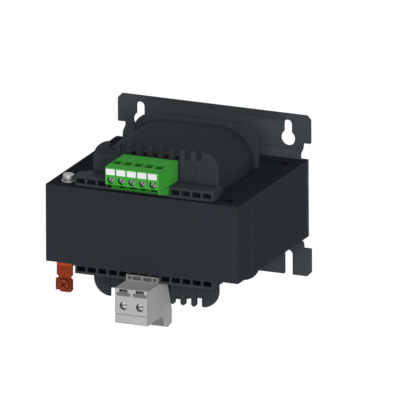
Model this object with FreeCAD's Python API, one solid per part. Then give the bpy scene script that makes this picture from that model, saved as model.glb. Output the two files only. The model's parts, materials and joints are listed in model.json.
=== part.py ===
import FreeCAD, Part
import math
import os

Vec = FreeCAD.Vector
ALONG_X = Vec(1, 0, 0)
ALONG_Y = Vec(0, 1, 0)
ALONG_Z = Vec(0, 0, 1)

# Row frame: the wall is the plane y = 0, x = 0 is the middle of the plate, z = 0 is
# the middle of the stack. The object stands out of the wall towards -y, +z is up.

# Laminated core, E and I sheets of the 150 mm size
lamination_width = 150.0
outer_leg = 25.0
yoke_width = 25.0
centre_leg = 50.0
window_length = 75.0
stack_height = 57.6
core_hole = 6.6
core_hole_inset = 12.5
weld_width = 3.2
weld_proud = 0.5
weld_end_margin = 2.5

# Mounting plate, one bent sheet
sheet = 2.5
joggle = 5.0
joggle_rise = 2.2
joggle_span = 7.0
ear_rise = 31.2
ear_height = 20.7
neck_inset = 5.7
ear_corner = 3.0
ear_hole_inset = 17.5
keyhole_slot = 6.4
keyhole_round = 11.2
keyhole_margin = 4.5
keyhole_drop = 18.2
tack_length = 12.0
tack_height = 15.0

# Coil former, one moulding with two flanges, a comb and two terminal rails
former_gap = 0.3
former_wall = 2.0
flange_thickness = 2.0
flange_side_gap = 1.3
flange_rise = 29.0
flange_corner = 13.0
finger_pitch = 8.4
finger_count = 8
finger_width = 3.9
finger_chamfer = 1.2
comb_depth = 6.5
comb_slot = 4.5
rib_proud = 0.8
rib_width = 1.2
lobe_rib_pitch = 3.6
rail_setback = 3.5
rail_flange_gap = 10.3
rail_height = 7.6
rail_seat_gap = 0.2
rail_end_wall = 1.0
rail_side_setback = 20.7
rail_corner = 1.0
pocket_pitch = 8.2
pocket_width = 6.6
pocket_height = 3.8
pocket_depth = 8.0
pocket_floor = 2.0
deck_groove = 0.6
deck_groove_setback = 2.4
arm_width = 8.5
arm_inset = 1.8
arm_drop = 2.1
web_thickness = 1.6
web_count = 5
web_pitch = 16.4

# Windings
winding_end_gap = 0.2
layer_gap = 0.2
inner_share_side = 0.66
inner_share_top = 0.46
insulation = 0.8
wrap = 0.8
wrap_side_gap = 0.4
wrap_top_gap = 1.0
wrap_end_step_side = 5.2
wrap_end_step_top = 2.2
wrap_taper = 11.0
wrap_corner = 21.0

# Primary terminal, five poles on the upper rail
primary_poles = 5
primary_pitch = 8.2
primary_centre = -2.2
primary_reach = 16.8
primary_flange_gap = 5.4
primary_height = 15.0
primary_face_height = 13.2
primary_foot_thickness = 4.9
primary_foot_drop = 6.4
primary_foot_slant = 1.4
primary_step = 0.6
foot_recess_width = 4.4
foot_recess_depth = 2.2
foot_recess_margin = 3.0
foot_recess_drop = 1.0
primary_end_plate = 1.5
cover_slant = 1.8
cover_slant_height = 3.6
primary_screw_height = 3.4
primary_cage_lift = 0.9
primary_screw = 4.6
primary_screw_recess = 2.0
primary_slot_turn = -60
primary_entry_width = 4.6
primary_entry_depth = 7.2
primary_entry_flare = 0.9
primary_entry_height = 5.4
primary_entry_setback = 10.0
tag_width = 6.9
tag_height = 4.4
tag_thickness = 1.0
tag_seat = 0.6
tag_drop = 1.3

# Secondary terminal, two poles on the lower rail
secondary_poles = 2
secondary_pitch = 12.8
secondary_centre = -0.9
secondary_reach = 20.7
secondary_height = 26.2
secondary_back_step = 4.0
secondary_back_height = 6.4
secondary_rear = 10.8
secondary_rear_lift = 1.3
secondary_leg_drop = 10.5
secondary_leg_depth = 7.2
secondary_leg_slant = 1.1
secondary_leg_waist = 8.0
secondary_leg_toe = 3.5
secondary_cage_room = 3.8
secondary_tab_rise = 3.0
secondary_screw_height = 13.2
secondary_screw = 5.4
secondary_screw_recess = 2.4
secondary_slot_turn = -8
secondary_groove_height = 19.6
secondary_groove = 0.6
secondary_lip = 4.4
secondary_lip_thickness = 1.6
secondary_lip_inset = 0.3
lip_panel = 6.3
lip_end_panel = 2.4
lip_panel_depth = 0.8
lip_panel_margin = 0.9
lip_middle_rib = 2.0
lip_rib = 1.4
recess_drop = 0.9
recess_height = 2.5
recess_overlap = 0.2
recess_narrow = 6.4
recess_wide = 10.6
recess_deep = 4.0
recess_shallow = 0.3
secondary_entry_width = 6.6
secondary_entry_depth = 8.2
secondary_entry_flare = 1.4
secondary_entry_height = 8.6
secondary_entry_setback = 12.2
gusset = 1.4
gusset_inset = 1.2
gusset_setback = 4.0

# Shared terminal details
screw_clearance = 0.3
driver_slot = 0.9
driver_slot_depth = 0.8
cage_wall = 0.8
cage_gap = 0.2
tab_thickness = 0.8
tab_width = 3.0
tab_reach = 2.6
hook_clearance = 0.4
hook_depth = 2.0
pole_groove = 0.5

# Earth lug, bent from sheet, with its wire screw and its bolt
earth_sheet = 1.5
earth_bend = 0.9
earth_width = 12.2
earth_depth = 16.0
earth_height = 23.1
earth_waist_height = 12.0
earth_waist_depth = 1.7
earth_waist_half = 1.6
earth_step = 1.1
earth_step_width = 2.6
earth_step_proud = 0.8
earth_chamfer = 1.8
earth_plate_thickness = 0.9
earth_plate_inset = 0.5
earth_plate_drop = 0.1
earth_plate_lift = 1.4
earth_screw = 8.4
earth_screw_head = 1.6
earth_screw_height = 17.2
earth_screw_shank = 4.0
earth_screw_reach = 3.0
earth_cross_width = 1.1
earth_cross_length = 5.6
earth_cross_depth = 1.0
earth_cross_turn = 40
earth_bolt = 5.0
earth_bolt_head = 8.5
earth_bolt_head_height = 3.3
earth_bolt_slot = 1.2
earth_bolt_slot_depth = 1.4
earth_bolt_slot_turn = 35
earth_bolt_end = 1.0
washer_outside = 10.0
washer_thickness = 1.0
spring_washer_outside = 8.6
spring_washer_thickness = 1.2
spring_washer_split = 0.8
spring_washer_turn = -70
nut_across_flats = 8.0
nut_height = 4.0
thread_gap = 0.05

# Winding leads
primary_lead = 1.3
secondary_lead = 2.4
lead_hole_gap = 0.3
lead_seat_gap = 0.1
lead_rail_gap = 1.0

# Rounding margin of the counts worked out below
small = 0.001

# Places worked out from the sizes
half_stack = stack_height / 2
half_width = lamination_width / 2
core_depth = window_length + 2 * yoke_width
plate_back = -joggle
core_back = plate_back - sheet
core_front = core_back - core_depth
joint_y = core_front + yoke_width
window_back = core_back - yoke_width
window_outside = half_width - outer_leg
flange_front = joint_y + former_gap
flange_back = flange_front + flange_thickness
rear_flange_back = window_back - former_gap
rear_flange_front = rear_flange_back - flange_thickness
tube_inside_x = centre_leg / 2 + former_gap
tube_inside_z = half_stack + former_gap
tube_outside_x = tube_inside_x + former_wall
tube_outside_z = tube_inside_z + former_wall
plate_top = half_stack + ear_rise
ear_hole_x = half_width - ear_hole_inset
ear_hole_z = plate_top - keyhole_drop
flange_half_x = window_outside - flange_side_gap
flange_half_z = half_stack + flange_rise
comb_floor = flange_half_z - comb_depth
rib_front = flange_front - rib_proud
rail_front = core_front + rail_setback
rail_back = flange_front - rail_flange_gap
rail_low = half_stack + rail_seat_gap
rail_top = rail_low + rail_height
rail_half_x = half_width - rail_side_setback
pocket_count = int(2 * (rail_half_x - rail_end_wall) / pocket_pitch + small)
winding_front = flange_back + winding_end_gap
winding_back = rear_flange_front - winding_end_gap
wrap_middle_x = flange_half_x - wrap_side_gap
wrap_middle_z = flange_half_z - wrap_top_gap
wrap_end_x = wrap_middle_x - wrap_end_step_side
wrap_end_z = wrap_middle_z - wrap_end_step_top


def block(x0, x1, y0, y1, z0, z1):
    return Part.makeBox(x1 - x0, y1 - y0, z1 - z0, Vec(x0, y0, z0))


def rod(start, direction, radius, length):
    return Part.makeCylinder(radius, length, start, direction)


def profile_x(points, x0, x1):
    """Prism of a (y, z) outline, drawn from x0 to x1."""
    corners = [Vec(x0, y, z) for y, z in points]
    face = Part.Face(Part.makePolygon(corners + [corners[0]]))
    return face.extrude(Vec(x1 - x0, 0, 0))


def profile_y(points, y0, y1):
    """Prism of an (x, z) outline, drawn from y0 to y1."""
    corners = [Vec(x, y0, z) for x, z in points]
    face = Part.Face(Part.makePolygon(corners + [corners[0]]))
    return face.extrude(Vec(0, y1 - y0, 0))


def round_outline(x0, x1, z0, z1, radius, y):
    """Rounded rectangle in the plane of that y."""
    turn = math.sqrt(0.5) * radius
    wire = []
    corners = [(x1 - radius, z1 - radius, 1, 1), (x0 + radius, z1 - radius, -1, 1)]
    corners += [(x0 + radius, z0 + radius, -1, -1), (x1 - radius, z0 + radius, 1, -1)]
    arcs = []
    for cx, cz, sx, sz in corners:
        side = Vec(cx + sx * radius, y, cz)
        middle = Vec(cx + sx * turn, y, cz + sz * turn)
        top = Vec(cx, y, cz + sz * radius)
        ends = (side, top) if sx == sz else (top, side)
        arcs.append((ends[0], middle, ends[1]))
    for number, arc in enumerate(arcs):
        wire.append(Part.Arc(*arc).toShape())
        start = arc[2]
        end = arcs[(number + 1) % 4][0]
        if (end - start).Length > 1e-6:
            wire.append(Part.LineSegment(start, end).toShape())
    return Part.Wire(wire)


def round_block(x0, x1, y0, y1, z0, z1, radius):
    """Block with its four edges along y rounded."""
    face = Part.Face(round_outline(x0, x1, z0, z1, radius, y0))
    return face.extrude(Vec(0, y1 - y0, 0))


def barrel(end_x, end_z, middle_x, middle_z, radius, y0, y1):
    """Coil body that swells from its ends to its middle."""
    middle = round_block(-middle_x, middle_x, y0, y1, -middle_z, middle_z, radius)
    side = [(y0, end_z), (y0 + wrap_taper, middle_z), (y1 - wrap_taper, middle_z), (y1, end_z),
            (y1, -end_z), (y1 - wrap_taper, -middle_z), (y0 + wrap_taper, -middle_z), (y0, -end_z)]
    above = [Vec(end_x, y0, 0), Vec(middle_x, y0 + wrap_taper, 0), Vec(middle_x, y1 - wrap_taper, 0),
             Vec(end_x, y1, 0), Vec(-end_x, y1, 0), Vec(-middle_x, y1 - wrap_taper, 0),
             Vec(-middle_x, y0 + wrap_taper, 0), Vec(-end_x, y0, 0), Vec(end_x, y0, 0)]
    plan = Part.Face(Part.makePolygon(above)).extrude(Vec(0, 0, 2 * middle_z))
    plan.translate(Vec(0, 0, -middle_z))
    return middle.common(profile_x(side, -middle_x, middle_x)).common(plan)


def fuse(pieces):
    whole = pieces[0].multiFuse(pieces[1:]) if len(pieces) > 1 else pieces[0]
    return whole.removeSplitter()


def mirrored_z(shape):
    return shape.mirror(Vec(0, 0, 0), ALONG_Z)


def mirrored_x(shape):
    return shape.mirror(Vec(0, 0, 0), ALONG_X)


def save(name, shape):
    solids = shape.Solids
    whole = solids[0] if len(solids) == 1 else Part.makeCompound(solids)
    whole.exportStep("parts/" + name + ".step")
    print(name, len(solids), "solid", round(whole.Volume / 1000, 2), "cm3")


def core_holes(y):
    holes = []
    for side in (-1, 1):
        start = Vec(side * (half_width - core_hole_inset), y, -half_stack - 1)
        holes.append(rod(start, ALONG_Z, core_hole / 2, stack_height + 2))
    return holes


def core_e_stack():
    whole = block(-half_width, half_width, joint_y, core_back, -half_stack, half_stack)
    for side in (-1, 1):
        near, far = sorted((side * centre_leg / 2, side * window_outside))
        whole = whole.cut(block(near, far, joint_y - 1, window_back, -half_stack - 1, half_stack + 1))
    return whole.cut(Part.makeCompound(core_holes(core_back - core_hole_inset)))


def core_i_stack():
    whole = block(-half_width, half_width, core_front, joint_y, -half_stack, half_stack)
    return whole.cut(Part.makeCompound(core_holes(core_front + core_hole_inset)))


def bead(y, z0, z1):
    """Weld bead with a round crown on the right side face of the core."""
    first = Vec(half_width, y - weld_width / 2, z0)
    crown = Vec(half_width + weld_proud, y, z0)
    last = Vec(half_width, y + weld_width / 2, z0)
    outline = Part.Wire([Part.Arc(first, crown, last).toShape(), Part.LineSegment(last, first).toShape()])
    return Part.Face(outline).extrude(Vec(0, 0, z1 - z0))


def core_weld_seams():
    reach = half_stack - weld_end_margin
    right = bead(joint_y, -reach, reach)
    return Part.makeCompound([right, mirrored_x(right)])


def plate_tack_welds():
    tacks = []
    for height in (-tack_height, tack_height):
        right = bead(core_back, height - tack_length / 2, height + tack_length / 2)
        tacks += [right, mirrored_x(right)]
    return Part.makeCompound(tacks)


def bent_half():
    """Upper half of the sheet: flat back, S bend away from the core, flat ear."""
    turn = 2 * math.atan(joggle / joggle_span)
    radius = joggle_span / (2 * math.sin(turn))
    inner = radius - sheet / 2
    outer = radius + sheet / 2
    low = half_stack + joggle_rise
    high = low + joggle_span
    flat_y = core_back + sheet / 2
    ear_y = -sheet / 2
    top = plate_top

    def lower(r, angle):
        return Vec(-half_width, flat_y + radius - r * math.cos(angle), low + r * math.sin(angle))

    def upper(r, angle):
        return Vec(-half_width, ear_y - radius + r * math.cos(angle), high - r * math.sin(angle))

    front = [Part.Arc(lower(outer, 0), lower(outer, turn / 2), lower(outer, turn))]
    front.append(Part.Arc(upper(inner, turn), upper(inner, turn / 2), upper(inner, 0)))
    back = [Part.Arc(upper(outer, 0), upper(outer, turn / 2), upper(outer, turn))]
    back.append(Part.Arc(lower(inner, turn), lower(inner, turn / 2), lower(inner, 0)))
    corners = [Vec(-half_width, -sheet, top), Vec(-half_width, 0, top)]
    foot = [Vec(-half_width, plate_back, 0), Vec(-half_width, core_back, 0)]
    lines = [Part.LineSegment(foot[1], lower(outer, 0)), Part.LineSegment(upper(inner, 0), corners[0])]
    lines += [Part.LineSegment(corners[0], corners[1]), Part.LineSegment(corners[1], upper(outer, 0))]
    lines += [Part.LineSegment(lower(inner, 0), foot[0]), Part.LineSegment(foot[0], foot[1])]
    edges = [lines[0]] + front + lines[1:4] + back + lines[4:]
    outline = Part.Wire([edge.toShape() for edge in edges])
    return Part.Face(outline).extrude(Vec(lamination_width, 0, 0))


def mounting_plate():
    half = bent_half()
    whole = fuse([half, mirrored_z(half)])
    through = core_back - 1
    top = plate_top
    cuts = []
    for side in (-1, 1):
        near, far = sorted((side * (half_width - neck_inset), side * (half_width + 1)))
        notch = block(near, far, through, 1, half_stack, top - ear_height)
        cuts += [notch, mirrored_z(notch)]
        tip = side * half_width
        corner = [(tip - side * ear_corner, top), (tip - side * ear_corner, top + 1), (tip + side, top + 1),
                  (tip + side, top - ear_corner), (tip, top - ear_corner)]
        chamfer = profile_y(corner, through, 1)
        cuts += [chamfer, mirrored_z(chamfer)]
        x = side * ear_hole_x
        slot_centre = top - keyhole_margin - keyhole_slot / 2
        cuts.append(rod(Vec(x, through, ear_hole_z), ALONG_Y, keyhole_round / 2, 1 - through))
        cuts.append(rod(Vec(x, through, slot_centre), ALONG_Y, keyhole_slot / 2, 1 - through))
        cuts.append(block(x - keyhole_slot / 2, x + keyhole_slot / 2, through, 1,
                          ear_hole_z, slot_centre))
        open_centre = -ear_hole_z - keyhole_slot / 2
        cuts.append(rod(Vec(x, through, open_centre), ALONG_Y, keyhole_slot / 2, 1 - through))
        cuts.append(block(x - keyhole_slot / 2, x + keyhole_slot / 2, through, 1, -top - 1, open_centre))
    return whole.cut(Part.makeCompound(cuts))


def finger(x, foot):
    """Comb finger with a chamfered tip, standing proud of the flange as a rib."""
    half = finger_width / 2
    tip = half - finger_chamfer
    shoulder = flange_half_z - finger_chamfer
    outline = [(x - half, foot), (x + half, foot), (x + half, shoulder), (x + tip, flange_half_z),
               (x - tip, flange_half_z), (x - half, shoulder)]
    return profile_y(outline, rib_front, flange_back)


def comb_edge():
    """Upper edge of the front flange: two lobes, round fingers, ribs down its face."""
    pieces = []
    rib_foot = rail_top + rail_seat_gap
    first = -(finger_count - 1) / 2 * finger_pitch
    for number in range(finger_count):
        x = first + number * finger_pitch
        pieces.append(finger(x, rib_foot))
    lobe_start = -first + finger_width / 2 + comb_slot
    for side in (-1, 1):
        near, far = sorted((side * lobe_start, side * flange_half_x))
        low = half_stack
        lobe = block(near, far, flange_front, flange_back, low, flange_half_z)
        limit = round_block(-flange_half_x, flange_half_x, flange_front, flange_back,
                            -flange_half_z, flange_half_z, flange_corner)
        pieces.append(lobe.common(limit))
        for step in range(2):
            x = side * (lobe_start + rib_width / 2 + step * lobe_rib_pitch)
            reach = comb_floor if step else flange_half_z - rib_width
            pieces.append(block(x - rib_width / 2, x + rib_width / 2, rib_front, flange_back,
                                rib_foot, reach))
    return pieces


def terminal_rail():
    """Upper rail: a bar on the yoke with a row of pockets, tied to the flange."""
    bar = block(-rail_half_x, rail_half_x, rail_front, rail_back, rail_low, rail_top)
    upright = [edge for edge in bar.Edges if abs(edge.tangentAt(0).z) > 0.9]
    bar = bar.makeChamfer(rail_corner, upright)
    cuts = []
    first = -(pocket_count - 1) / 2 * pocket_pitch
    for number in range(pocket_count):
        x = first + number * pocket_pitch
        low = rail_low + pocket_floor
        cuts.append(block(x - pocket_width / 2, x + pocket_width / 2, rail_front - 1,
                          rail_front + pocket_depth, low, low + pocket_height))
    groove = rail_front + deck_groove_setback
    cuts.append(block(-rail_half_x - 1, rail_half_x + 1, groove, groove + deck_groove,
                      rail_top - deck_groove, rail_top + 1))
    pieces = [bar.cut(Part.makeCompound(cuts))]
    for side in (-1, 1):
        near, far = sorted((side * (rail_half_x - arm_inset), side * (rail_half_x - arm_inset - arm_width)))
        pieces.append(block(near, far, rail_back, flange_front, rail_low, rail_top - arm_drop))
    for number in range(web_count):
        x = (number - (web_count - 1) / 2) * web_pitch
        pieces.append(block(x - web_thickness / 2, x + web_thickness / 2, rail_back, flange_front,
                            rail_low, rail_top - 2 * arm_drop))
    return pieces


def coil_former():
    outer = block(-tube_outside_x, tube_outside_x, flange_front, rear_flange_back,
                  -tube_outside_z, tube_outside_z)
    front = round_block(-flange_half_x, flange_half_x, flange_front, flange_back,
                        -comb_floor, comb_floor, flange_corner - comb_depth)
    rear = round_block(-flange_half_x, flange_half_x, rear_flange_front, rear_flange_back,
                       -flange_half_z, flange_half_z, flange_corner)
    limit = round_block(-flange_half_x, flange_half_x, flange_front, flange_back,
                        -flange_half_z, flange_half_z, flange_corner)
    pieces = [outer, front.common(limit), rear]
    for piece in comb_edge() + terminal_rail():
        pieces += [piece, mirrored_z(piece)]
    whole = fuse(pieces)
    cuts = [block(-tube_inside_x, tube_inside_x, flange_front - 1, rear_flange_back + 1,
                  -tube_inside_z, tube_inside_z)]
    for x in secondary_xs():
        cuts.append(rod(Vec(x, rib_front - 1, secondary_lead_height()), ALONG_Y,
                        secondary_lead / 2 + lead_hole_gap, rib_proud + flange_thickness + 2))
    return whole.cut(Part.makeCompound(cuts))


def inner_build():
    """Inner winding's part of the room between the tube and the wrap, beside and above."""
    room_side = wrap_end_x - wrap - insulation - tube_outside_x - layer_gap
    room_top = wrap_end_z - wrap - insulation - tube_outside_z - layer_gap
    return inner_share_side * room_side, inner_share_top * room_top


def inner_half():
    """Half width and half height of the inner winding's outside."""
    side, top = inner_build()
    return tube_outside_x + layer_gap + side, tube_outside_z + layer_gap + top


def insulation_half():
    side, top = inner_half()
    return side + insulation, top + insulation


def ring(half_x, half_z, radius, hole_x, hole_z, hole_radius):
    outer = round_block(-half_x, half_x, winding_front, winding_back, -half_z, half_z, radius)
    hole = round_block(-hole_x, hole_x, winding_front - 1, winding_back + 1, -hole_z, hole_z, hole_radius)
    return outer.cut(hole)


def coil_outside(inset):
    return barrel(wrap_end_x - inset, wrap_end_z - inset, wrap_middle_x - inset, wrap_middle_z - inset,
                  wrap_corner - inset, winding_front, winding_back)


def inner_corner():
    return min(inner_build())


def secondary_winding():
    side, top = inner_half()
    return ring(side, top, inner_corner(), tube_outside_x + layer_gap, tube_outside_z + layer_gap, layer_gap)


def layer_insulation():
    side, top = insulation_half()
    inside_x, inside_z = inner_half()
    return ring(side, top, inner_corner() + insulation, inside_x, inside_z, inner_corner())


def primary_winding():
    side, top = insulation_half()
    hole = round_block(-side, side, winding_front - 1, winding_back + 1, -top, top,
                       inner_corner() + insulation)
    return coil_outside(wrap).cut(hole)


def outer_wrap():
    return coil_outside(0).cut(coil_outside(wrap))


def primary_xs():
    first = primary_centre - (primary_poles - 1) / 2 * primary_pitch
    return [first + number * primary_pitch for number in range(primary_poles)]


def secondary_xs():
    first = secondary_centre - (secondary_poles - 1) / 2 * secondary_pitch
    return [first + number * secondary_pitch for number in range(secondary_poles)]


def secondary_lead_height():
    return -(rail_top + lead_rail_gap + secondary_lead / 2)


primary_front = rail_front - primary_reach
primary_back = flange_front - primary_flange_gap
primary_low = rail_top
primary_top = primary_low + primary_height
primary_face_low = primary_top - primary_face_height
primary_screw_z = primary_face_low + primary_screw_height
primary_cage_low = primary_face_low + primary_cage_lift
primary_entry_y = primary_front + primary_entry_setback + primary_entry_depth / 2
primary_left = primary_centre - primary_poles * primary_pitch / 2
primary_right = primary_centre + primary_poles * primary_pitch / 2
primary_tab_z = primary_screw_z + tab_thickness / 2

secondary_front = rail_front - secondary_reach
secondary_top = -rail_top
secondary_low = secondary_top - secondary_height
secondary_screw_z = secondary_top - secondary_screw_height
secondary_entry_y = secondary_front + secondary_entry_setback
secondary_left = secondary_centre - secondary_poles * secondary_pitch / 2
secondary_right = secondary_centre + secondary_poles * secondary_pitch / 2
secondary_tab_z = secondary_screw_z + secondary_tab_rise
secondary_cage_high = secondary_screw_z + secondary_cage_room


def funnel(x, y, width, depth, flare, z0, z1):
    """Wire entry that opens from its neck at z0 to its mouth at z1."""
    a = width / 2
    b = depth / 2
    front_view = [(x - a, z0), (x + a, z0), (x + a + flare, z1), (x - a - flare, z1)]
    side_view = [(y - b, z0), (y + b, z0), (y + b + flare, z1), (y - b - flare, z1)]
    across = profile_x(side_view, x - a - flare, x + a + flare)
    return across.common(profile_y(front_view, y - b - flare, y + b + flare))


def pocket_hooks(x0, x1, front, low, high):
    """Hooks of a terminal in the rail's pockets between x0 and x1."""
    hooks = []
    first = -(pocket_count - 1) / 2 * pocket_pitch
    half = pocket_width / 2 - hook_clearance
    for number in range(pocket_count):
        x = first + number * pocket_pitch
        if x - half > x0 and x + half < x1:
            hooks.append(block(x - half, x + half, front, rail_front + hook_depth, low, high))
    return hooks


def primary_side_outline():
    foot_low = primary_low - primary_foot_drop
    foot_front = rail_front - primary_foot_thickness
    return [(primary_front, primary_top), (primary_back, primary_top), (primary_back, primary_low),
            (rail_front, primary_low), (rail_front, foot_low), (foot_front, foot_low + primary_foot_slant),
            (foot_front, primary_low + primary_step), (primary_front, primary_face_low)]


def primary_terminal_body():
    foot_front = rail_front - primary_foot_thickness
    body = profile_x(primary_side_outline(), primary_left, primary_right)
    low = rail_low + pocket_floor + hook_clearance
    high = rail_low + pocket_floor + pocket_height - hook_clearance
    pieces = [body] + pocket_hooks(primary_left, primary_right, foot_front + 1, low, high)
    whole = fuse(pieces)
    cuts = []
    neck = primary_top - primary_entry_height
    for number, x in enumerate(primary_xs()):
        wide = primary_entry_width / 2 + cage_wall + cage_gap
        deep = primary_entry_depth / 2 + cage_wall + cage_gap
        cuts.append(block(x - wide, x + wide, primary_entry_y - deep, primary_entry_y + deep,
                          primary_cage_low, neck))
        cuts.append(funnel(x, primary_entry_y, primary_entry_width, primary_entry_depth,
                           primary_entry_flare, neck, primary_top))
        radius = primary_screw / 2 + screw_clearance
        cuts.append(rod(Vec(x, primary_front - 1, primary_screw_z), ALONG_Y, radius,
                        primary_entry_y - deep - primary_front + 1))
        slot = tab_width / 2 + cage_gap
        cuts.append(block(x - slot, x + slot, primary_entry_y, primary_back + 1,
                          primary_tab_z - tab_thickness - cage_gap, primary_tab_z + cage_gap))
        tag_top = primary_top - tag_drop
        cuts.append(block(x - tag_width / 2, x + tag_width / 2,
                          primary_front - 1, primary_front + tag_seat, tag_top - tag_height, tag_top))
        if number:
            edge = x - primary_pitch / 2
            cuts.append(block(edge - pole_groove / 2, edge + pole_groove / 2, primary_front - 1,
                              primary_front + pole_groove, primary_face_low - 1, primary_top + 1))
            cuts.append(block(edge - foot_recess_width / 2, edge + foot_recess_width / 2, foot_front - 1,
                              foot_front + foot_recess_depth,
                              primary_low - primary_foot_drop + foot_recess_margin,
                              primary_low - foot_recess_drop))
    return whole.cut(Part.makeCompound(cuts))


def primary_end_cover():
    foot_low = primary_low - primary_foot_drop
    outline = [(primary_front, primary_top), (primary_back, primary_top), (primary_back, primary_low),
               (rail_front, primary_low), (rail_front, foot_low),
               (primary_front + cover_slant, primary_face_low - cover_slant_height),
               (primary_front, primary_face_low)]
    return profile_x(outline, primary_right, primary_right + primary_end_plate)


def screw_set(xs, start, z, size, tip_y, turn):
    """Slotted terminal screws, sunk below the front face, that bear on the cages."""
    screws = []
    for x in xs:
        body = rod(Vec(x, start, z), ALONG_Y, size / 2, tip_y - start)
        slot = block(x - size, x + size, start - 1, start + driver_slot_depth,
                     z - driver_slot / 2, z + driver_slot / 2)
        slot.rotate(Vec(x, start, z), ALONG_Y, turn)
        screws.append(body.cut(slot))
    return Part.makeCompound(screws)


def cage_set(xs, y, width, depth, z0, z1):
    """Clamp cages: a square tube round each wire."""
    cages = []
    for x in xs:
        a = width / 2
        b = depth / 2
        outer = block(x - a - cage_wall, x + a + cage_wall, y - b - cage_wall, y + b + cage_wall, z0, z1)
        cages.append(outer.cut(block(x - a, x + a, y - b, y + b, z0 - 1, z1 + 1)))
    return Part.makeCompound(cages)


def tab_set(xs, start, end, z):
    """Solder tabs from the back of the cages out of the back of the terminal."""
    tabs = []
    for x in xs:
        tabs.append(block(x - tab_width / 2, x + tab_width / 2, start, end, z - tab_thickness, z))
    return Part.makeCompound(tabs)


primary_cage_back = primary_entry_y + primary_entry_depth / 2 + cage_wall
secondary_cage_back = secondary_entry_y + secondary_entry_depth / 2 + cage_wall


def primary_screws():
    tip = primary_entry_y - primary_entry_depth / 2 - cage_wall
    start = primary_front + primary_screw_recess
    return screw_set(primary_xs(), start, primary_screw_z, primary_screw, tip, primary_slot_turn)


def primary_clamps():
    high = primary_top - primary_entry_height - cage_gap
    return cage_set(primary_xs(), primary_entry_y, primary_entry_width, primary_entry_depth,
                    primary_cage_low, high)


def primary_tabs():
    return tab_set(primary_xs(), primary_cage_back, primary_back + tab_reach, primary_tab_z)


def primary_marker_tags():
    tags = []
    top = primary_top - tag_drop
    for x in primary_xs():
        tags.append(block(x - tag_width / 2, x + tag_width / 2, primary_front + tag_seat - tag_thickness,
                          primary_front + tag_seat, top - tag_height, top))
    return Part.makeCompound(tags)


def secondary_side_outline():
    """Side view of the lower terminal with its leaning back and rear leg."""
    leg_back = rail_back + secondary_rear
    leg_front = leg_back - secondary_leg_depth
    leg_low = secondary_low - secondary_leg_drop
    return [(secondary_front, secondary_top), (rail_back, secondary_top),
            (rail_back + secondary_back_step, secondary_top - secondary_back_height),
            (leg_back, secondary_low + secondary_rear_lift), (leg_back, leg_low + secondary_leg_slant),
            (leg_front, leg_low), (leg_front - secondary_leg_toe, leg_low + secondary_leg_slant),
            (leg_front - secondary_leg_waist, secondary_low), (secondary_front, secondary_low)]


def secondary_terminal_body():
    body = profile_x(secondary_side_outline(), secondary_left, secondary_right)
    lip_front = rail_front - secondary_lip_thickness
    lip_top = secondary_top + secondary_lip
    lip = block(secondary_left + secondary_lip_inset, secondary_right - secondary_lip_inset,
                lip_front, rail_front, secondary_top, lip_top)
    low = -(rail_low + pocket_floor + pocket_height) + hook_clearance
    backing = secondary_lip_thickness - lip_panel_depth
    hooks = pocket_hooks(secondary_left, secondary_right, rail_front - backing / 2, low,
                         lip_top - hook_clearance)
    pieces = [body, lip] + hooks
    outline = secondary_side_outline()
    leg = outline[6]
    web = [(secondary_front + gusset_setback, secondary_low), leg, outline[7]]
    for x in (secondary_left + gusset_inset, secondary_centre - gusset / 2,
              secondary_right - gusset_inset - gusset):
        pieces.append(profile_x(web, x, x + gusset))
    whole = fuse(pieces)
    cuts = []
    neck = secondary_low + secondary_entry_height
    groove_z = secondary_top - secondary_groove_height
    cuts.append(block(secondary_left - 1, secondary_right + 1, secondary_front - 1,
                      secondary_front + secondary_groove, groove_z - secondary_groove / 2,
                      groove_z + secondary_groove / 2))
    for x in secondary_xs():
        wide = secondary_entry_width / 2 + cage_wall + cage_gap
        deep = secondary_entry_depth / 2 + cage_wall + cage_gap
        cuts.append(block(x - wide, x + wide, secondary_entry_y - deep, secondary_entry_y + deep,
                          neck, secondary_cage_high))
        cuts.append(funnel(x, secondary_entry_y, secondary_entry_width, secondary_entry_depth,
                           secondary_entry_flare, neck, secondary_low))
        radius = secondary_screw / 2 + screw_clearance
        cuts.append(rod(Vec(x, secondary_front - 1, secondary_screw_z), ALONG_Y, radius,
                        secondary_entry_y - deep - secondary_front + 1))
        slot = tab_width / 2 + cage_gap
        cuts.append(block(x - slot, x + slot, secondary_entry_y, rail_back + secondary_rear + 1,
                          secondary_tab_z - tab_thickness - cage_gap, secondary_tab_z + cage_gap))
        cuts += marker_recess(x)
    return whole.cut(Part.makeCompound(cuts + lip_panels(lip_front, lip_top)))


def lip_panels(front, top):
    """Sunk panels in the lip, two wide ones and a narrow one at each end."""
    panels = []
    for side in (-1, 1):
        start = lip_middle_rib / 2
        for width in (lip_panel, lip_end_panel):
            near = secondary_centre + side * start
            far = secondary_centre + side * (start + width)
            panels.append(block(min(near, far), max(near, far), front - 1, front + lip_panel_depth,
                                secondary_top + lip_panel_margin, top - lip_panel_margin))
            start += width + lip_rib
    return panels


def marker_recess(x):
    """Deep narrow recess above each screw with a wide ramp below it."""
    top = secondary_top - recess_drop
    step = top - recess_height
    low = step - recess_height
    deep = secondary_front + recess_deep
    pocket = block(x - recess_narrow / 2, x + recess_narrow / 2, secondary_front - 1, deep,
                   step - recess_overlap, top)
    slope = [(secondary_front - 1, step), (deep, step), (secondary_front + recess_shallow, low),
             (secondary_front - 1, low)]
    return [pocket, profile_x(slope, x - recess_wide / 2, x + recess_wide / 2)]


def secondary_screws():
    tip = secondary_entry_y - secondary_entry_depth / 2 - cage_wall
    start = secondary_front + secondary_screw_recess
    return screw_set(secondary_xs(), start, secondary_screw_z, secondary_screw, tip, secondary_slot_turn)


def secondary_clamps():
    low = secondary_low + secondary_entry_height + cage_gap
    return cage_set(secondary_xs(), secondary_entry_y, secondary_entry_width, secondary_entry_depth,
                    low, secondary_cage_high)


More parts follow.
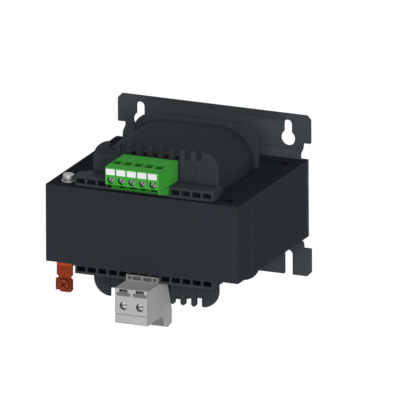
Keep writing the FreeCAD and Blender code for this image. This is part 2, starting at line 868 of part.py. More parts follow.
def secondary_back_at(z):
    """How far back the leaning back of the lower terminal lies at height z."""
    outline = secondary_side_outline()
    (y0, z0), (y1, z1) = outline[2], outline[3]
    return y0 + (z - z0) / (z1 - z0) * (y1 - y0)


def secondary_tab_end():
    return secondary_back_at(secondary_tab_z) + tab_reach


def secondary_tabs():
    return tab_set(secondary_xs(), secondary_cage_back, secondary_tab_end(), secondary_tab_z)


def half_space(corner, normal):
    """Large block on the side of the corner that the normal points away from."""
    size = lamination_width
    piece = Part.makeBox(size, size, size, Vec(-size / 2, -size / 2, -size))
    piece.rotate(Vec(0, 0, 0), *turn_from_z(normal))
    piece.translate(corner)
    return piece


def turn_from_z(direction):
    turn = FreeCAD.Rotation(ALONG_Z, direction)
    return turn.Axis, math.degrees(turn.Angle)


def lead(start, corner, end, diameter):
    """Round wire in two straight runs with one mitred corner."""
    come = (corner - start).normalize()
    leave = (end - corner).normalize()
    bisector = (come + leave).normalize()
    first = rod(start, come, diameter / 2, (corner - start).Length + diameter)
    second = rod(corner - leave * diameter, leave, diameter / 2, (end - corner).Length + diameter)
    before = half_space(corner, bisector)
    return first.common(before).fuse(second.cut(before)).removeSplitter()


def primary_leads():
    wires = []
    half = primary_lead / 2
    over = comb_floor + half + lead_seat_gap
    y = primary_back + tab_reach - half - lead_seat_gap
    for x in primary_xs():
        slot = round(x / finger_pitch) * finger_pitch
        end = Vec(x, y, primary_tab_z - half)
        wire = lead(Vec(slot, winding_front, over), Vec(slot, y, over), end, primary_lead)
        foot = block(x - finger_pitch, x + finger_pitch, y - primary_lead, y + primary_lead,
                     primary_tab_z - primary_lead, primary_tab_z)
        wires.append(wire.cut(foot))
    return Part.makeCompound(wires)


def secondary_leads():
    wires = []
    z = secondary_lead_height()
    y = secondary_tab_end() - secondary_lead / 2 - lead_seat_gap
    for x in secondary_xs():
        corner = Vec(x, y, z)
        wires.append(lead(Vec(x, winding_front, z), corner, Vec(x, y, secondary_tab_z), secondary_lead))
    return Part.makeCompound(wires)


earth_x = -(half_width - core_hole_inset)
earth_y = core_front + core_hole_inset
earth_front = earth_y - earth_depth / 2
earth_back = earth_y + earth_depth / 2
earth_left = earth_x - earth_width / 2
earth_right = earth_x + earth_width / 2
earth_top = -half_stack
earth_low = earth_top - earth_height
earth_waist = earth_top - earth_waist_height
earth_screw_z = earth_top - earth_screw_height
earth_plate_front = earth_front - earth_plate_thickness
nut_low = earth_top - earth_sheet - nut_height
bolt_low = nut_low - earth_bolt_end


def lug_sheet():
    """Bent sheet seen from the side: a tab down the front, a leg under the core."""
    outer = earth_bend + earth_sheet
    y = earth_front + outer
    z = earth_top - outer

    x = earth_left - earth_step_proud
    quarter = math.pi / 2

    def turned(radius, angle):
        return Vec(x, y - radius * math.cos(angle), z + radius * math.sin(angle))

    crown = Part.Arc(turned(outer, 0), turned(outer, quarter / 2), turned(outer, quarter))
    hollow = Part.Arc(turned(earth_bend, quarter), turned(earth_bend, quarter / 2), turned(earth_bend, 0))
    leg = [turned(outer, quarter), Vec(x, earth_back, earth_top),
           Vec(x, earth_back, earth_top - earth_sheet), turned(earth_bend, quarter)]
    tab = [turned(earth_bend, 0), Vec(x, earth_front + earth_sheet, earth_low),
           Vec(x, earth_front, earth_low), turned(outer, 0)]
    edges = [crown]
    edges += [Part.LineSegment(leg[number], leg[number + 1]) for number in range(3)]
    edges.append(hollow)
    edges += [Part.LineSegment(tab[number], tab[number + 1]) for number in range(3)]
    outline = Part.Wire([edge.toShape() for edge in edges])
    return Part.Face(outline).extrude(Vec(earth_width + earth_step_proud, 0, 0))


def earth_terminal_body():
    left = earth_left
    right = earth_right
    waist = earth_waist
    inner = earth_waist_depth
    proud = left - earth_step_proud
    step = earth_low + earth_step
    low = waist - earth_waist_half
    outline = [(left, earth_top), (right, earth_top), (right, waist + earth_waist_half),
               (right - inner, waist), (right, low), (right, earth_low + earth_chamfer),
               (right - earth_chamfer, earth_low),
               (left + earth_step_width, earth_low), (left + earth_step_width, step), (proud, step),
               (proud, low), (left + inner, waist), (left, waist + earth_waist_half)]
    whole = lug_sheet().common(profile_y(outline, earth_front, earth_back))
    leg_hole = rod(Vec(earth_x, earth_y, earth_top - earth_sheet - 1), ALONG_Z,
                   earth_bolt / 2 + screw_clearance, earth_sheet + 2)
    tab_hole = rod(Vec(earth_x, earth_front - 1, earth_screw_z), ALONG_Y,
                   earth_screw_shank / 2 + thread_gap, earth_sheet + 2)
    return whole.cut(Part.makeCompound([leg_hole, tab_hole]))


def earth_terminal_screw():
    x = earth_x
    z = earth_screw_z
    start = earth_plate_front - earth_screw_head
    shank_length = earth_plate_thickness + earth_sheet + earth_screw_reach
    head = rod(Vec(x, start, z), ALONG_Y, earth_screw / 2, earth_screw_head)
    stem = rod(Vec(x, earth_plate_front, z), ALONG_Y, earth_screw_shank / 2, shank_length)
    arm = earth_cross_length / 2
    half = earth_cross_width / 2
    cross = block(x - arm, x + arm, start - 1, start + earth_cross_depth, z - half, z + half)
    upright = block(x - half, x + half, start - 1, start + earth_cross_depth, z - arm, z + arm)
    recess = cross.fuse(upright)
    recess.rotate(Vec(x, start, z), ALONG_Y, earth_cross_turn)
    return head.fuse(stem).removeSplitter().cut(recess)


def earth_clamp_plate():
    """Clamp plate on the lug's face, under the head of the wire screw."""
    plate = block(earth_left + earth_plate_inset, earth_right - earth_plate_inset,
                  earth_plate_front, earth_front,
                  earth_low + earth_plate_lift, earth_waist - earth_waist_half - earth_plate_drop)
    return plate.cut(rod(Vec(earth_x, earth_plate_front - 1, earth_screw_z), ALONG_Y,
                         earth_screw_shank / 2 + screw_clearance, earth_plate_thickness + 2))


def earth_bolt_piece():
    head_low = half_stack + washer_thickness + spring_washer_thickness
    head = rod(Vec(earth_x, earth_y, head_low), ALONG_Z, earth_bolt_head / 2, earth_bolt_head_height)
    top = head_low + earth_bolt_head_height
    slot = block(earth_x - earth_bolt_head, earth_x + earth_bolt_head, earth_y - earth_bolt_slot / 2,
                 earth_y + earth_bolt_slot / 2, top - earth_bolt_slot_depth, top + 1)
    slot.rotate(Vec(earth_x, earth_y, top), ALONG_Z, earth_bolt_slot_turn)
    shank = rod(Vec(earth_x, earth_y, bolt_low), ALONG_Z, earth_bolt / 2, head_low - bolt_low)
    return head.cut(slot).fuse(shank).removeSplitter()


def washer_ring(low, outside, thickness):
    start = Vec(earth_x, earth_y, low)
    outer = rod(start, ALONG_Z, outside / 2, thickness)
    return outer.cut(rod(start, ALONG_Z, earth_bolt / 2 + screw_clearance, thickness))


def earth_washer():
    return washer_ring(half_stack, washer_outside, washer_thickness)


def earth_spring_washer():
    low = half_stack + washer_thickness
    whole = washer_ring(low, spring_washer_outside, spring_washer_thickness)
    split = block(earth_x, earth_x + spring_washer_outside, earth_y - spring_washer_split / 2,
                  earth_y + spring_washer_split / 2, low - 1, low + spring_washer_thickness + 1)
    split.rotate(Vec(earth_x, earth_y, low), ALONG_Z, spring_washer_turn)
    return whole.cut(split)


def earth_nut():
    radius = nut_across_flats / math.sqrt(3)
    corners = []
    for number in range(7):
        angle = math.radians(60 * number + 30)
        corners.append(Vec(earth_x + radius * math.cos(angle), earth_y + radius * math.sin(angle), nut_low))
    body = Part.Face(Part.makePolygon(corners)).extrude(Vec(0, 0, nut_height))
    hole = rod(Vec(earth_x, earth_y, nut_low - 1), ALONG_Z, earth_bolt / 2 + thread_gap, nut_height + 2)
    return body.cut(hole)


def build():
    os.makedirs("parts", exist_ok=True)
    save("core_e_stack", core_e_stack())
    save("core_i_stack", core_i_stack())
    save("core_weld_seams", core_weld_seams())
    save("mounting_plate", mounting_plate())
    save("plate_tack_welds", plate_tack_welds())
    save("coil_former", coil_former())
    save("secondary_winding", secondary_winding())
    save("layer_insulation", layer_insulation())
    save("primary_winding", primary_winding())
    save("outer_wrap", outer_wrap())
    save("primary_leads", primary_leads())
    save("secondary_leads", secondary_leads())
    save("primary_terminal_body", primary_terminal_body())
    save("primary_end_cover", primary_end_cover())
    save("primary_marker_tags", primary_marker_tags())
    save("primary_screws", primary_screws())
    save("primary_clamps", primary_clamps())
    save("primary_tabs", primary_tabs())
    save("secondary_terminal_body", secondary_terminal_body())
    save("secondary_screws", secondary_screws())
    save("secondary_clamps", secondary_clamps())
    save("secondary_tabs", secondary_tabs())
    save("earth_terminal_body", earth_terminal_body())
    save("earth_terminal_screw", earth_terminal_screw())
    save("earth_clamp_plate", earth_clamp_plate())
    save("earth_bolt", earth_bolt_piece())
    save("earth_washer", earth_washer())
    save("earth_spring_washer", earth_spring_washer())
    save("earth_nut", earth_nut())


build()
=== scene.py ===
import json
import math

import bmesh
import bpy
from mathutils import Matrix, Vector

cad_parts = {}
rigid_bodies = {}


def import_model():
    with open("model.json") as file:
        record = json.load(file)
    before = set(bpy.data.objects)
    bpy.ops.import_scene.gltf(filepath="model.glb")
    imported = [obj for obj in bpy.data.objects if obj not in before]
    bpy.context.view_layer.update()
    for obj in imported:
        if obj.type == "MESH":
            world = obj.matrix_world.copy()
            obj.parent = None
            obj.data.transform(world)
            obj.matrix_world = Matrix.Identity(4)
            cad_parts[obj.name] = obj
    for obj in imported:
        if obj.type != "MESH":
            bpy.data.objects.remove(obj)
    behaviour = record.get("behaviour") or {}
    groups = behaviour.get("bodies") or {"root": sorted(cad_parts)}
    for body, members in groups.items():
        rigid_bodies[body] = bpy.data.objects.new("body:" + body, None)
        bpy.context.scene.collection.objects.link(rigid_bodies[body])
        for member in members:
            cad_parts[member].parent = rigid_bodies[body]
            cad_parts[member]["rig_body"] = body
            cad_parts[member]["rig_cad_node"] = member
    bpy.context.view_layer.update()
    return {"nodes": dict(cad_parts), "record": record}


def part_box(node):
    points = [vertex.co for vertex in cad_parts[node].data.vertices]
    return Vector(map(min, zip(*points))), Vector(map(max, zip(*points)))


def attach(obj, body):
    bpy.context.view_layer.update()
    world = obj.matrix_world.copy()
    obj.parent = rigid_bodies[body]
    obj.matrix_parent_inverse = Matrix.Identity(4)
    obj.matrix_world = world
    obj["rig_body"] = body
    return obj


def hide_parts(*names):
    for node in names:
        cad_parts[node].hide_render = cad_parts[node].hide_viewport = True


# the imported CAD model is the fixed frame, in metres: the wall is y = 0, the terminals face -y
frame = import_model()
print("frame loaded:", len(frame["nodes"]), "nodes")

mm = 0.001
touching = 0.001 * mm  # closer than this is the same place
sharp = 0.1 * mm  # over this a crisp border of two tones changes
scene = bpy.context.scene
nodes = frame["nodes"]


# shader maths written as expressions
class Wire:
    def __init__(self, sheet, socket):
        self.sheet = sheet
        self.socket = socket

    def maths(self, operation, left, right=None):
        values = {0: left}
        if right is not None:
            values[1] = right
        return self.sheet.node("ShaderNodeMath", {"operation": operation}, values)

    def __add__(self, other):
        return self.maths("ADD", self, other)

    def __radd__(self, other):
        return self.maths("ADD", other, self)

    def __sub__(self, other):
        return self.maths("SUBTRACT", self, other)

    def __rsub__(self, other):
        return self.maths("SUBTRACT", other, self)

    def __mul__(self, other):
        return self.maths("MULTIPLY", self, other)

    def __rmul__(self, other):
        return self.maths("MULTIPLY", other, self)

    def __truediv__(self, other):
        return self.maths("DIVIDE", self, other)

    def __rtruediv__(self, other):
        return self.maths("DIVIDE", other, self)

    def __pow__(self, other):
        return self.maths("POWER", self, other)

    def wave(self):
        return self.maths("SINE", self)

    def low(self, other):
        return self.maths("MINIMUM", self, other)

    def high(self, other):
        return self.maths("MAXIMUM", self, other)

    def size(self):
        return self.maths("ABSOLUTE", self)

    # held between 0 and 1
    def within(self):
        settings = {"operation": "ADD", "use_clamp": True}
        return self.sheet.node("ShaderNodeMath", settings, {0: self, 1: 0.0})

    # 0 before the start, 1 after the run
    def rise(self, start, run):
        return ((self - start) / run).within()

    def part(self, name):
        return self.sheet.node("ShaderNodeSeparateXYZ", {}, {"Vector": self}, name)


# the node tree of one material or world, with its shader
class Sheet:
    def __init__(self, owner, shaderName="Principled BSDF"):
        owner.use_nodes = True
        self.owner = owner
        self.tree = owner.node_tree
        self.shader = self.tree.nodes[shaderName]

    def node(self, kind, settings, values, output=0):
        made = self.tree.nodes.new(kind)
        for name, value in settings.items():
            setattr(made, name, value)
        for name, value in values.items():
            self.feed(made.inputs[name], value)
        return Wire(self, made.outputs[output])

    def feed(self, socket, value):
        if isinstance(value, Wire):
            self.tree.links.new(value.socket, socket)
        else:
            socket.default_value = value

    def place(self):
        return self.node("ShaderNodeTexCoord", {}, {}, "Object")

    def axes(self):
        place = self.place()
        return place.part("X"), place.part("Y"), place.part("Z")

    def noise(self, scale, detail=3.0, roughness=0.5, vector=None):
        values = {"Scale": scale, "Detail": detail, "Roughness": roughness}
        values["Vector"] = vector if vector is not None else self.place()
        return self.node("ShaderNodeTexNoise", {}, values, "Fac")

    def stretched(self, scale):
        return self.node("ShaderNodeMapping", {}, {"Vector": self.place(), "Scale": scale})

    def blend(self, share, first, second):
        settings = {"data_type": "RGBA", "clamp_factor": True}
        return self.node("ShaderNodeMix", settings, {0: share, 6: first, 7: second}, 2)

    def vary(self, share, base, change):
        return self.blend(share, shade(base, 1 - change), shade(base, 1 + change))

    def ray(self, name):
        return self.node("ShaderNodeLightPath", {}, {}, name)

    def bump(self, height, strength, distance):
        values = {"Height": height, "Strength": strength, "Distance": distance}
        self.drive("Normal", self.node("ShaderNodeBump", {}, values))

    def fix(self, **values):
        for name, value in values.items():
            self.shader.inputs[name.replace("_", " ")].default_value = value

    def drive(self, name, wire):
        self.feed(self.shader.inputs[name], wire)


def colour(red, green, blue):
    return (red, green, blue, 1.0)


def shade(base, factor):
    return colour(*(channel * factor for channel in base[:3]))


def newSheet(name):
    return Sheet(bpy.data.materials.new(name))


def radial(first, second):
    return (first * first + second * second) ** 0.5


# moulded plastic: a fine spark texture and a slow drift of tone, with painted shade where a shadow mask
# is given
plasticValues = {
    "grain": 2600.0,
    "grainDepth": 0.00002,
    "grainStrength": 0.15,
    "grainRoughness": 0.05,
    "drift": 45.0,
    "driftShare": 0.12,
    "driftRoughness": 0.08,
    "shadeTone": 0.1,
    "level": 0.015,
}


def plastic(name, base, roughness, shadow=None):
    values = plasticValues
    sheet = newSheet(name)
    drift = sheet.noise(values["drift"])
    grain = sheet.noise(values["grain"], detail=2.0)
    tone = sheet.vary(drift, base, values["driftShare"])
    # painted shade: the tone darkens towards a dark copy of the base where the shadow mask is high
    if shadow:
        tone = sheet.blend(shadow(sheet), tone, shade(base, values["shadeTone"]))
    dulled = values["driftRoughness"] * (drift - 0.5) + values["grainRoughness"] * (grain - 0.5)
    sheet.drive("Base Color", tone)
    sheet.drive("Roughness", roughness + dulled)
    sheet.bump(grain, values["grainStrength"], values["grainDepth"])
    sheet.fix(Specular_IOR_Level=values["level"])
    return sheet.owner


# sprayed paint: slight orange peel, duller where it lies thin
paintValues = {
    "peel": 700.0,
    "peelDepth": 0.00004,
    "peelStrength": 0.12,
    "drift": 18.0,
    "driftShare": 0.1,
    "driftRoughness": 0.12,
}

# the plate's upper strip stands forward of its ears; painted light on it: darkened towards its top edge
# and lightened low down, where the coil shades it
stripValues = {
    "lightTones": (0.64, 1.08),
    "top": 60.0 * mm,
    "fall": 9.0 * mm,
    "half": 58.0 * mm,
    "side": 8.0 * mm,
    "front": 2.2 * mm,
    "frontRun": 0.2 * mm,
    "low": 40.0 * mm,
    "lowRun": 2.0 * mm,
}


def paint(name, base, roughness):
    sheet = newSheet(name)
    drift = sheet.noise(paintValues["drift"], detail=4.0)
    peel = sheet.noise(paintValues["peel"], detail=2.0)
    x, y, z = sheet.axes()
    values = stripValues
    across = (values["half"] - x.size()).rise(0.0, values["side"])
    forward = (0.0 - y).rise(values["front"], values["frontRun"])
    strip = across * forward * z.rise(values["low"], values["lowRun"])
    # painted light: darker and lighter copies of the paint across the upper strip
    upper, lower = (shade(base, factor) for factor in values["lightTones"])
    stripLight = sheet.blend((values["top"] - z).rise(0.0, values["fall"]), upper, lower)
    tone = sheet.vary(drift, base, paintValues["driftShare"])
    sheet.drive("Base Color", sheet.blend(strip, tone, stripLight))
    sheet.drive("Roughness", roughness + paintValues["driftRoughness"] * (drift - 0.5))
    sheet.bump(peel, paintValues["peelStrength"], paintValues["peelDepth"])
    sheet.fix(Specular_IOR_Level=0.0)
    return sheet.owner


# the same paint over the edges of stacked sheets, with painted light on its faces (the sides lighter and
# the top darker than the front) and painted shade inside the corner holes
stackValues = {
    "sheet": 0.5 * mm,
    "wobble": 900.0,
    "wobbleStretch": (0.06, 0.06, 1.0),
    "edgeDepth": 0.00003,
    "edgeStrength": 0.18,
    "edgeTone": 0.1,
    "litSideTone": 1.19,
    "shadedTopTone": 0.8,
    "holeX": 62.5 * mm,
    "holeY": 50.0 * mm,
    "holesMiddle": -70.0 * mm,
    "hole": 6.6 * mm,
    "holeGap": 0.02 * mm,
    "holeRun": 0.1 * mm,
    "holeShadeTone": 0.25,
    "skin": 0.1 * mm,
}


def stackPaint(name, base, roughness):
    values = stackValues
    sheet = newSheet(name)
    drift = sheet.noise(paintValues["drift"], detail=4.0)
    wobble = sheet.noise(values["wobble"], detail=2.0, vector=sheet.stretched(values["wobbleStretch"]))
    x, y, z = sheet.axes()
    edges = (z * (2 * math.pi / values["sheet"])).wave() * 0.5 + wobble
    share = (0.5 * drift + 0.5 * wobble).within()
    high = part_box("core_e_stack")[1]
    skin = values["skin"]
    side = (x.size() - (high.x - skin)).rise(0.0, skin)
    top = (z.size() - (high.z - skin)).rise(0.0, skin)
    # painted light: lit and shaded copies of the paint for the front, the sides and the top
    front, flank, above = (sheet.vary(share, shade(base, factor), values["edgeTone"])
                           for factor in (1.0, values["litSideTone"], values["shadedTopTone"]))
    coat = sheet.blend(top, sheet.blend(side, front, flank), above)
    # painted shade inside the corner holes
    away = radial(x.size() - values["holeX"], (y - values["holesMiddle"]).size() - values["holeY"])
    hole = 1.0 - away.rise(values["hole"] / 2 + values["holeGap"], values["holeRun"])
    sheet.drive("Base Color", sheet.blend(hole, coat, shade(base, values["holeShadeTone"])))
    sheet.drive("Roughness", roughness + paintValues["driftRoughness"] * (drift - 0.5))
    sheet.bump(edges, values["edgeStrength"], values["edgeDepth"])
    sheet.fix(Specular_IOR_Level=0.0)
    return sheet.owner


# plated steel: cloudy tone and fine scratches, with painted shade where a shadow mask is given
platedValues = {
    "drift": 160.0,
    "driftTones": (0.85, 1.08),
    "driftRoughness": 0.15,
    "scratch": 1800.0,
    "scratchStretch": (1.0, 1.0, 0.12),
    "scratchRoughness": 0.1,
    "scratchStrength": 0.1,
    "scratchDepth": 0.00001,
    "shadeTone": 0.12,
}


def plated(name, base, roughness, metallic=1.0, shadow=None):
    values = platedValues
    sheet = newSheet(name)
    drift = sheet.noise(values["drift"], detail=4.0)
    lines = sheet.stretched(values["scratchStretch"])
    scratch = sheet.noise(values["scratch"], detail=2.0, roughness=0.6, vector=lines)
    darker, lighter = (shade(base, factor) for factor in values["driftTones"])
    tone = sheet.blend(drift, darker, lighter)
    # painted shade: the tone darkens towards a dark copy of the base where the shadow mask is high
    if shadow:
        tone = sheet.blend(shadow(sheet), tone, shade(base, values["shadeTone"]))
    dulled = values["driftRoughness"] * (drift - 0.5) + values["scratchRoughness"] * (scratch - 0.5)
    sheet.drive("Base Color", tone)
    sheet.drive("Roughness", roughness + dulled)
    sheet.bump(scratch, values["scratchStrength"], values["scratchDepth"])
    sheet.fix(Metallic=metallic)
    return sheet.owner


# orange coated sheet: mottled, with a painted highlight along its upper bend where a light mask is
# given, and painted shade from its shadow mask
coatedValues = {
    "mottle": 420.0,
    "mottleShare": 0.3,
    "mottleRoughness": 0.2,
    "roughness": 0.42,
    "strength": 0.3,
    "depth": 0.00006,
    "bendHighlight": 1.9,
    "shadeTone": 0.22,
    "level": 0.1,
}


def coated(name, base, shadow, light=None):
    values = coatedValues
    sheet = newSheet(name)
    mottle = sheet.noise(values["mottle"], detail=4.0, roughness=0.6)
    tone = sheet.vary(mottle, base, values["mottleShare"])
    # painted highlight: a lighter copy of the base along the bend
    if light:
        tone = sheet.blend(light(sheet), tone, shade(base, values["bendHighlight"]))
    # painted shade: the tone darkens where the shadow mask is high
    sheet.drive("Base Color", sheet.blend(shadow(sheet), tone, shade(base, values["shadeTone"])))
    sheet.drive("Roughness", values["roughness"] + values["mottleRoughness"] * (mottle - 0.5))
    sheet.bump(mottle, values["strength"], values["depth"])
    sheet.fix(Specular_IOR_Level=values["level"])
    return sheet.owner


# copper wire in turns along the coil, dark under its impregnating varnish
turnValues = {
    "pitch": 1.3 * mm,
    "depth": 0.0002,
    "strength": 0.5,
    "drift": 220.0,
    "driftShare": 0.4,
    "darkTone": 0.55,
    "roughness": 0.42,
    "driftRoughness": 0.1,
}


def varnishedTurns(name, base):
    values = turnValues
    sheet = newSheet(name)
    turns = (sheet.place().part("Y") * (2 * math.pi / values["pitch"])).wave() * 0.5 + 0.5
    drift = sheet.noise(values["drift"])
    share = turns * (1 - values["driftShare"]) + drift * values["driftShare"]
    sheet.drive("Base Color", sheet.blend(share, shade(base, values["darkTone"]), base))
    sheet.drive("Roughness", values["roughness"] + values["driftRoughness"] * drift)
    sheet.bump(turns, values["strength"], values["depth"])
    sheet.fix(Specular_IOR_Level=0.0)
    return sheet.owner


# varnished tape wound over the coil, with its edges showing as faint ridges
tapeValues = {
    "width": 17.5 * mm,
    "wander": 0.6 * mm,
    "ridgeSharpness": 0.2,
    "ridgeShare": 0.4,
    "ridgeStrength": 0.2,
    "ridgeDepth": 0.00025,
    "crease": 120.0,
    "creaseStretch": (1.0, 0.25, 1.0),
    "drift": 30.0,
    "driftTones": (0.82, 1.15),
    "driftRoughness": 0.2,
    "roughness": 0.5,
    "level": 0.004,
}


def tape(name, base):
    values = tapeValues
    sheet = newSheet(name)
    drift = sheet.noise(values["drift"], detail=4.0)
    folds = sheet.stretched(values["creaseStretch"])
    crease = sheet.noise(values["crease"], detail=4.0, roughness=0.6, vector=folds)
    along = sheet.place().part("Y") + values["wander"] * drift
    edge = (along * (2 * math.pi / values["width"])).wave().size() ** values["ridgeSharpness"]
    darker, lighter = (shade(base, factor) for factor in values["driftTones"])
    sheet.drive("Base Color", sheet.blend(drift, darker, lighter))
    sheet.drive("Roughness", values["roughness"] + values["driftRoughness"] * (drift - 0.5))
    sheet.bump(edge * values["ridgeShare"] + crease, values["ridgeStrength"], values["ridgeDepth"])
    sheet.fix(Specular_IOR_Level=values["level"])
    return sheet.owner


# recesses: painted shade, darker the further a place lies below the outer faces
def nearest(gaps):
    least = gaps[0]
    for gap in gaps[1:]:
        least = least.low(gap)
    return least


# thin lines where two outer faces meet
def edgeLines(gaps, width):
    pairs = []
    for number, first in enumerate(gaps):
        for second in gaps[number + 1:]:
            pairs.append(first.size().high(second.size()))
    return 1.0 - nearest(pairs).rise(width * 0.5, width * 0.5)


# green terminal: painted shade in the bores and wire mouths, and on the foot in the shade of the face
# above it
greenValues = {
    "reach": 16.8 * mm,
    "faceHeight": 13.2 * mm,
    "height": 15.0 * mm,
    "footThickness": 4.9 * mm,
    "slope": 0.1,
    "start": 0.15 * mm,
    "fade": 1.1 * mm,
    "edge": 0.4 * mm,
    "edgeShare": 0.5,
    "mouthBack": 6.0 * mm,
    "mouthBackRun": 0.5 * mm,
    "mouthLowRun": 1.0 * mm,
    "mouthShare": 0.35,
    "mouthStarts": (0.1 * mm, 0.2 * mm),
    "mouthRuns": (0.1 * mm, 3.4 * mm),
    "footStart": -0.2 * mm,
    "footRun": 0.1 * mm,
    "footTop": -1.0 * mm,
    "footTopRun": 0.8 * mm,
    "footSide": 0.3 * mm,
    "footSideRun": 0.4 * mm,
    "footShare": 0.62,
}


def greenShadow(sheet):
    values = greenValues
    low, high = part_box("primary_terminal_body")
    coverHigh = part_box("primary_end_cover")[1]
    x, y, z = sheet.axes()
    faceLow = high.z - values["faceHeight"]
    footFront = low.y + values["reach"] - values["footThickness"]
    slope = values["slope"]
    sides = [x - low.x, coverHigh.x - x]
    faces = [y - low.y, high.z - z, z + slope * y - (faceLow + slope * low.y)] + sides
    foot = [y - footFront, z - low.z, (high.z - values["height"]) - z] + sides
    depth = nearest(faces + [high.y - y]).high(nearest(foot))
    inMouth = (y - (low.y + values["mouthBack"])).rise(0.0, values["mouthBackRun"])
    mouth = inMouth * (z - faceLow).rise(0.0, values["mouthLowRun"])
    starts, runs = values["mouthStarts"], values["mouthRuns"]
    atOnce, slowly = (depth.rise(start, run) for start, run in zip(starts, runs))
    slow = atOnce * values["mouthShare"] + slowly * (1 - values["mouthShare"])
    fast = depth.rise(values["start"], values["fade"])
    recess = fast * (1.0 - mouth) + slow * mouth
    left, right = (side.rise(values["footSide"], values["footSideRun"]) for side in sides)
    behind = (y - footFront).rise(values["footStart"], values["footRun"])
    under = behind * (faceLow - z).rise(values["footTop"], values["footTopRun"]) * left * right
    lines = edgeLines(faces, values["edge"]) * values["edgeShare"]
    return recess.high(lines).high(under * values["footShare"])


# grey terminal: painted shade in the bores, marker recesses, hollow foot and lip panels, and the hooked
# lip darker overall
greyValues = {
    "lip": 4.4 * mm,
    "height": 26.2 * mm,
    "reach": 20.7 * mm,
    "lipThickness": 1.6 * mm,
    "lipInset": 0.3 * mm,
    "railDepth": 11.5 * mm,
    "backStep": 4.0 * mm,
    "backHeight": 6.4 * mm,
    "backRun": 6.8,
    "backFall": 18.5,
    "recessTop": 3.4 * mm,
    "rampHeight": 2.6 * mm,
    "rampStart": 0.05 * mm,
    "rampFade": 0.15 * mm,
    "rampBorder": 0.05 * mm,
    "rampShare": 0.48,
    "start": 0.15 * mm,
    "fade": 1.0 * mm,
    "lipShare": 0.5,
    "panelStart": 0.3 * mm,
    "panelRun": 0.2 * mm,
    "panelShare": 0.88,
    "webStart": 0.6 * mm,
    "webRun": 0.3 * mm,
    "webShare": 0.45,
    "edge": 0.6 * mm,
    "edgeShare": 0.6,
}


def greyShadow(sheet):
    values = greyValues
    low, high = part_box("secondary_terminal_body")
    x, y, z = sheet.axes()
    top = high.z - values["lip"]
    bottom = top - values["height"]
    railFront = low.y + values["reach"]
    railBack = railFront + values["railDepth"]
    front, above, below = y - low.y, top - z, z - bottom
    sides = [x - low.x, high.x - x]
    upperBack = above * (values["backStep"] / values["backHeight"]) + (railBack - y)
    lean = values["backRun"] / values["backFall"]
    lowerBack = (top - values["backHeight"] - z) * lean + (railBack + values["backStep"] - y)
    depth = nearest([front, above, below] + sides + [upperBack, lowerBack])
    fast = depth.rise(values["start"], values["fade"])
    slow = depth.rise(values["rampStart"], values["rampFade"]) * values["rampShare"]
    step = top - values["recessTop"]
    rampFoot = z - (step - values["rampHeight"])
    border = values["rampBorder"]
    ramp = (step - z).rise(-border, border) * rampFoot.rise(0.0, border)
    recess = fast * (1.0 - ramp) + slow * ramp
    between = nearest(sides).rise(values["webStart"], values["webRun"])
    web = (bottom - z).rise(0.0, sharp) * between * values["webShare"]
    upperLines = edgeLines([front, above] + sides, values["edge"])
    lines = upperLines.high(edgeLines([front, below], values["edge"])) * values["edgeShare"]
    inset = values["lipInset"]
    lip = nearest([y - (railFront - values["lipThickness"]), high.z - z, x - (low.x + inset),
                   (high.x - inset) - x])
    panel = values["panelShare"] - values["lipShare"]
    lipShare = values["lipShare"] + panel * lip.rise(values["panelStart"], values["panelRun"])
    onLip = (z - top).rise(0.0, sharp)
    return recess.high(web).high(lines) * (1.0 - onLip) + lipShare * onLip


# terminal screws: painted shade in the slots, and on the upper heads, which sit deep in narrow bores
slotValues = {
    "start": 0.3 * mm,
    "end": 1.2 * mm,
    "endRun": 0.2 * mm,
    "boreShare": 0.55,
}


def slotShadow(sheet):
    values = slotValues
    _, y, z = sheet.axes()
    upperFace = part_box("primary_screws")[0].y
    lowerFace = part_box("secondary_screws")[0].y
    upper = z.rise(0.0, mm)
    depth = y - (lowerFace + (upperFace - lowerFace) * upper)
    slot = depth.rise(values["start"], sharp) * (1.0 - depth.rise(values["end"], values["endRun"]))
    return slot.high(upper * values["boreShare"])


# earth lug: a painted highlight along its bend, and painted shade at its edges, round the screw head and
# under the clamp plate
lugValues = {
    "bendHeight": 3.6 * mm,
    "bendRun": 0.4 * mm,
    "edgeStart": 0.02 * mm,
    "edge": 0.3 * mm,
    "edgeShare": 0.75,
    "rim": 0.6 * mm,
    "rimShare": 0.8,
    "underPlate": 0.7 * mm,
    "underShare": 0.7,
    "plateInset": 1.5 * mm,
    "plateLine": 0.45 * mm,
    "plateTopRun": 0.5 * mm,
    "plateShare": 0.8,
}


def screwHeadGap(x, z):
    low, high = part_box("earth_terminal_screw")
    away = radial(x - (low.x + high.x) / 2, z - (low.z + high.z) / 2)
    return (away - (high.x - low.x) / 2).size()


def lugShadow(sheet):
    values = lugValues
    low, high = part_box("earth_terminal_body")
    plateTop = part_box("earth_clamp_plate")[1].z
    x, _, z = sheet.axes()
    inset = nearest([x - low.x, high.x - x])
    edges = 1.0 - inset.rise(values["edgeStart"], values["edge"])
    rim = 1.0 - screwHeadGap(x, z).rise(0.0, values["rim"])
    reach = values["underPlate"]
    underPlate = (plateTop + reach - z).rise(0.0, reach) * (z - plateTop).rise(-sharp, sharp)
    beside = 1.0 - (inset - values["plateInset"]).size().rise(0.0, values["plateLine"])
    plateLine = beside * (plateTop - z).rise(0.0, values["plateTopRun"])
    marks = (edges * values["edgeShare"]).high(rim * values["rimShare"])
    return marks.high(underPlate * values["underShare"]).high(plateLine * values["plateShare"])


# painted highlight along the lug's upper bend
def lugLight(sheet):
    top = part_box("earth_terminal_body")[1].z
    height = sheet.place().part("Z")
    return (height - (top - lugValues["bendHeight"])).rise(0.0, lugValues["bendRun"])


